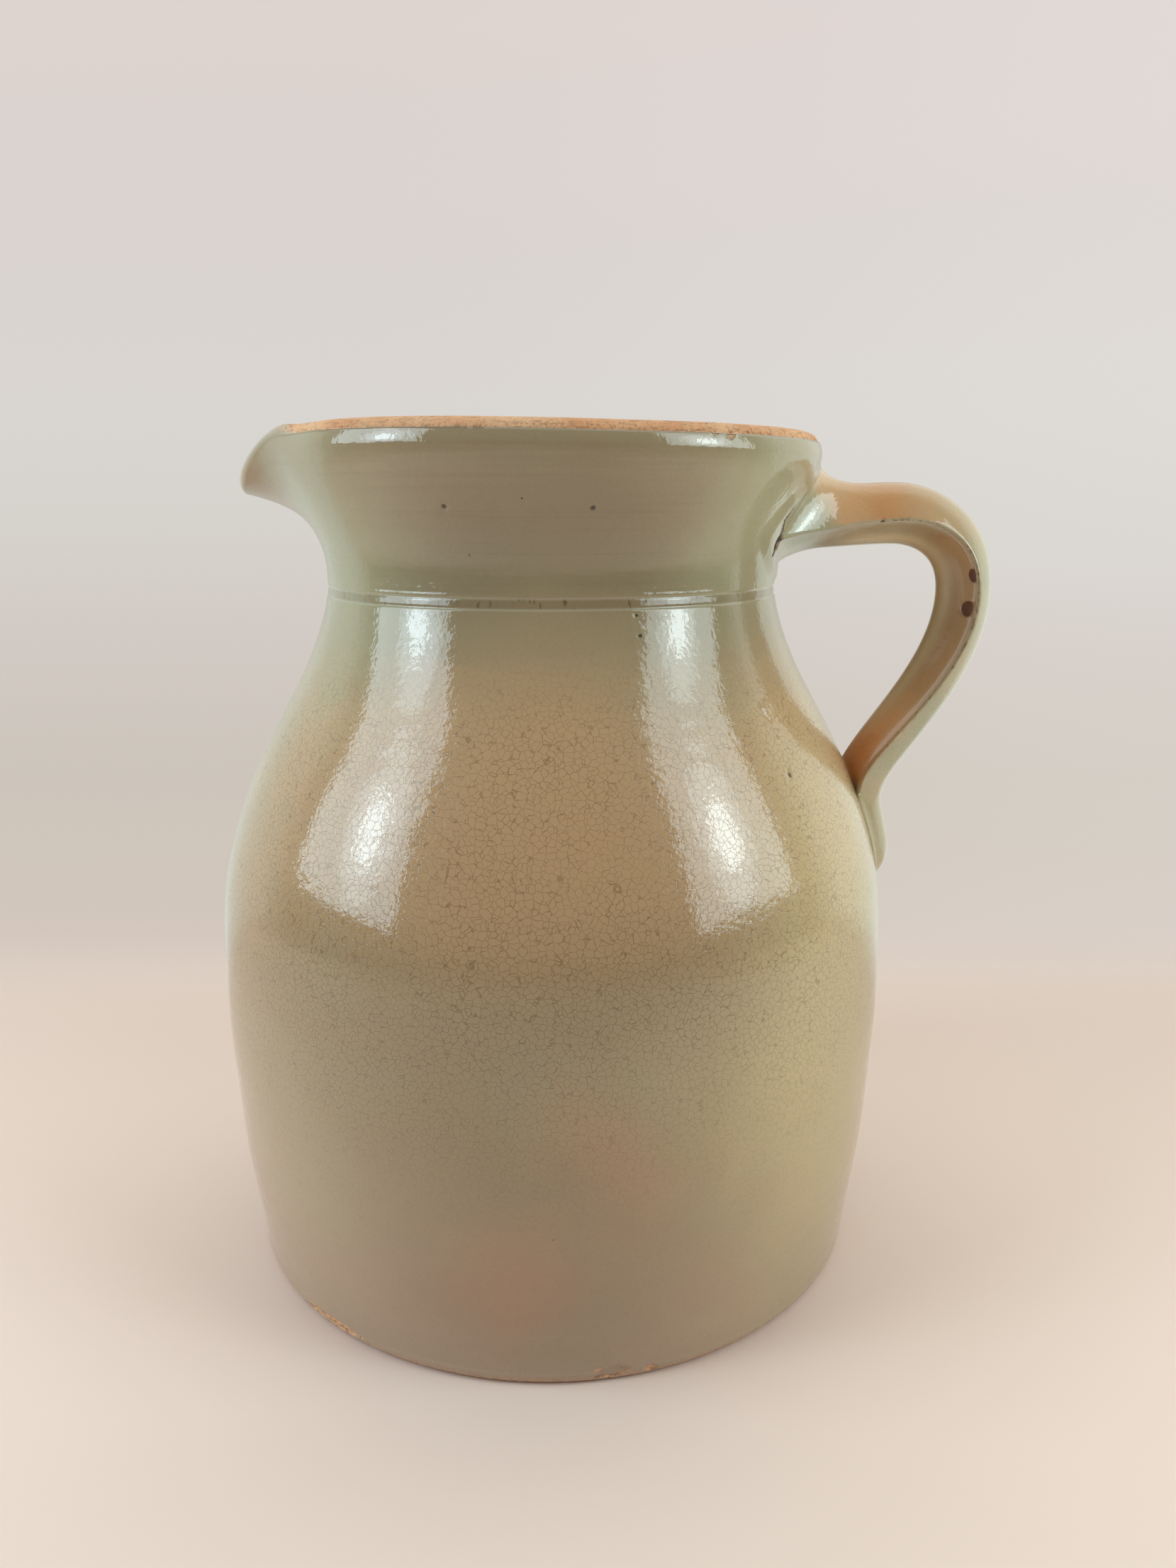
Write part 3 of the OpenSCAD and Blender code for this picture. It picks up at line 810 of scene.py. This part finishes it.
strap = woven("strap", capped(inner_rings[::-1]), merge=STRAP_MERGE)
dress(strap, clay)
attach(strap, "root")
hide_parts("strap_handle")
handle_coat = woven(
    "handle_coat", np.concatenate([outer_rings, inner_rings]), True, STRAP_MERGE,
    edge=both_sides(edge_line * fade(along, 0.16, 0.2)[:, None] * fade(along, 0.64, 0.56)[:, None]),
    cove=both_sides(cove_depth),
    rib=both_sides(on_face * np.exp(-((np.abs(across) - RIB_AT) / RIB_HALF) ** 2)),
    face=both_sides(on_face),
    along=both_sides(along[:, None]),
)
HANDLE_PALE = srgb(174, 160, 129)
HANDLE_GREEN = srgb(162, 156, 126)
HANDLE_ORANGE = srgb(206, 148, 98)
ROOT_ORANGE = srgb(218, 168, 123)
TAIL_TAN = srgb(168, 150, 114)
CHIP_BROWN = srgb(118, 72, 55)
COVE_BROWN = srgb(204, 168, 130)
# Painted highlight: a pale shine along the rib's crest, also used as a painted reflection on the inner face under the
# crown.
RIB_HIGHLIGHT = srgb(236, 222, 190)
COVE_ORANGE = srgb(253, 203, 156)
COVE_DEEP = srgb(228, 150, 86)
EDGE_BROWN = srgb(112, 84, 60)
FLANK = (0.071, 0.020, 0.2245)

made, where = material("handle_glaze")
along_strap, inner, cove = where.mask("along"), where.mask("face"), where.mask("cove")
cloud = where.noise(0.02, 4)
ragged_along = along_strap + (where.noise(0.012, 3) - 0.5) * 0.12
colour = where.blend(cloud.step(0.35, 0.65), HANDLE_PALE, HANDLE_GREEN)
colour = where.blend(ragged_along.step(0.62, 0.7), colour, TAIL_TAN)
crown = ragged_along.step(0.0, 0.16) * (ragged_along.step(0.30, 0.20) * 0.5 + ragged_along.step(0.40, 0.28) * 0.45)
crown_orange = where.blend(ragged_along.step(0.1, 0.2), ROOT_ORANGE, HANDLE_ORANGE)
colour = where.blend(crown * (1 - inner), colour, crown_orange)
low = ragged_along.step(0.42, 0.62)
shaded = (inner * 0.45 + cove * 0.5) * ragged_along.step(0.22, 0.36) * along_strap.step(0.70, 0.66)
deep = ragged_along.step(0.54, 0.64)
colour = where.blend(shaded, colour, where.blend(deep, where.blend(low, COVE_BROWN, COVE_ORANGE), COVE_DEEP))
# Painted highlight along the rib's crest, and painted reflection on the inner face under the crown.
rib_band = where.mask("rib") * along_strap.step(0.62, 0.5) * along_strap.step(0.1, 0.2)
under_crown = inner * along_strap.step(0.32, 0.22) * along_strap.step(0.08, 0.16)
colour = where.blend(rib_band * 0.7 + under_crown * 0.3, colour, RIB_HIGHLIGHT)
for side in (-1, 1):
    flank = where.bent(0.008, 0.006).spot((FLANK[0], FLANK[1] * side, FLANK[2]), 0.008, 0.016)
    colour = where.blend(flank * 0.85, colour, HANDLE_GREEN)
colour = where.blend(where.mask("edge") * where.noise(0.0014, 3).step(0.5, 0.62) * 0.7, colour, EDGE_BROWN)
torn = cracked(where)
thin = torn
for *centre, radius in STRAP_CHIPS:
    thin = thin.math("MAXIMUM", thin, where.bent(0.002, 0.0006).spot(centre, 0.8 * radius, 0.95 * radius))
glass(where, colour, 0.15, thin, where.blend(torn, CHIP_BROWN, IRON))
dress(handle_coat, made)
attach(handle_coat, "root")
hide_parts("handle_glaze")
for node in ("upper_lute", "lower_lute"):
    dress(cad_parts[node], clay)


# The studio
# A pale sweep of paper in a white tent, with a soft panel of light on each side, towards the front.
FLOOR_HALF = 1.2
FLOOR_PALE = srgb(232, 207, 193)
PANEL_HIGH = 0.80
PANEL_LOW = 0.19
PANEL_AWAY = 0.70
PANELS = [
    ("left", -68.5, 0.53, 5, 4.8, (0.82, 1.01, 1.10)),
    ("right", 65.2, 0.49, -2, 4.2, (0.84, 1.00, 1.03)),
]
# The backdrop that the camera sees is painted light and shade of the lit sweep, graded by height and darkest in a
# band below the horizon.
BACKDROP = [
    (0.00, srgb(226, 209, 197)),
    (0.06, srgb(223, 209, 200)),
    (0.09, srgb(217, 204, 195)),
    (0.11, srgb(213, 200, 191)),
    (0.15, srgb(209, 198, 188)),
    (0.27, srgb(205, 197, 187)),
    (0.33, srgb(207, 199, 191)),
    (0.39, srgb(210, 202, 196)),
    (0.48, srgb(214, 210, 204)),
    (0.57, srgb(217, 213, 208)),
    (0.72, srgb(218, 211, 207)),
    (0.85, srgb(221, 211, 207)),
]
BACKDROP_BRIGHT = srgb(255, 255, 252)
TENT_LEFT = srgb(219, 228, 223)
TENT_RIGHT = srgb(240, 247, 238)
TENT_FRONT = srgb(60, 52, 44)
TENT_BACK = srgb(170, 164, 154)
TENT_POWER = 1.2
LENS = 27.03
SENSOR = 36
EYE_PLACE = (0.0127, -0.3662, 0.2299)
EYE_DOWN = 13.306
EYE_TURN = 0.26
floor_mesh = bpy.data.meshes.new("floor")
floor_mesh.from_pydata(
    [(-FLOOR_HALF, -FLOOR_HALF, 0), (FLOOR_HALF, -FLOOR_HALF, 0),
     (FLOOR_HALF, FLOOR_HALF, 0), (-FLOOR_HALF, FLOOR_HALF, 0)], [], [(0, 1, 2, 3)])
floor = bpy.data.objects.new("floor", floor_mesh)
bpy.context.scene.collection.objects.link(floor)
made, where = material("paper")
paper = where.node("BsdfPrincipled", (), {"Base Color": FLOOR_PALE, "Roughness": 0.9})
beyond = where.part("Y").step(0.14, 0.26)
out = where.vector("LENGTH", (0, 0, 0), 1)
looked_at = where.node("LightPath", (), (), "Is Camera Ray")
gone = beyond.math("MAXIMUM", beyond, out.step(0.8, 1.1))
gone = gone.math("MAXIMUM", gone, looked_at * out.step(0.42, 0.64))
clear = where.node("BsdfTransparent")
where.node("OutputMaterial", (), {"Surface": where.node("MixShader", (), {0: gone, 1: paper, 2: clear})})
dress(floor, made)


def panel(name, azimuth, width, height, low, distance, power, tint, shape="RECTANGLE"):
    """A soft panel of light that faces the pot's axis, azimuth degrees round from the camera."""
    light = bpy.data.lights.new(name, "AREA")
    light.shape = shape
    light.size, light.size_y = width, height
    light.energy = power
    light.color = tint
    lamp = bpy.data.objects.new(name, light)
    a = math.radians(azimuth)
    lamp.location = (distance * math.sin(a), -distance * math.cos(a), low + height / 2)
    lamp.rotation_euler = (math.radians(90), 0, a)
    lamp.visible_camera = False
    bpy.context.scene.collection.objects.link(lamp)


for side, azimuth, width, lean, power, tint in PANELS:
    panel("panel_" + side, azimuth, width, PANEL_HIGH, PANEL_LOW, PANEL_AWAY, power, tint)
    panel("glow_" + side, azimuth + lean, width * 0.5, 0.42, 0.22, 0.69, 0.6, tint, "ELLIPSE")
    panel("core_" + side, azimuth + lean, width * 0.22, 0.20, 0.30, 0.68, 0.35, tint, "ELLIPSE")
fill = bpy.data.lights.new("fill", "AREA")
fill.size = 1.8
fill.energy = 7.5
overhead = bpy.data.objects.new("fill", fill)
overhead.location = (0, 0.3, 1.5)
overhead.visible_camera = False
overhead.visible_glossy = False
bpy.context.scene.collection.objects.link(overhead)

world = bpy.data.worlds.new("tent")
world.use_nodes = True
world.node_tree.nodes.clear()
ray = Wire(world.node_tree).node("TexCoord", (), (), "Generated")
level_way = ray.vector("MULTIPLY", (1, 1, 0)).vector("LENGTH", (0, 0, 0), 1)
up_way = ray.part("Z") / ray.math("MAXIMUM", ray.part("Y"), level_way * 0.75) + 0.5
seen = ray.node("ValToRGB", {"stops": BACKDROP}, {0: up_way})
# Painted light: the backdrop is brightened towards the right.
seen = ray.blend(ray.part("X").step(-0.2, 0.5) * 0.14, seen, BACKDROP_BRIGHT)
sides = ray.blend(ray.part("X").step(-0.3, 0.7), TENT_LEFT, TENT_RIGHT)
tent = ray.blend(ray.part("Y").step(0.05, 0.40), TENT_FRONT, sides)
tent = ray.blend(ray.part("Y").step(0.8, 0.98) * 0.75, tent, TENT_BACK)
shown = ray.node("Background", (), {"Color": seen, "Strength": 1})
lit = ray.node("Background", (), {"Color": tent, "Strength": TENT_POWER})
straight = ray.node("LightPath", (), (), "Is Camera Ray")
ray.node("OutputWorld", (), {"Surface": ray.node("MixShader", (), {0: straight, 1: lit, 2: shown})})
bpy.context.scene.world = world
bpy.context.scene.view_settings.view_transform = "Standard"

eye = bpy.data.cameras.new("eye")
eye.sensor_width = SENSOR
eye.lens = LENS
camera = bpy.data.objects.new("eye", eye)
camera.location = EYE_PLACE
camera.rotation_euler = (math.radians(90 - EYE_DOWN), 0, math.radians(EYE_TURN))
bpy.context.scene.collection.objects.link(camera)
bpy.context.scene.camera = camera
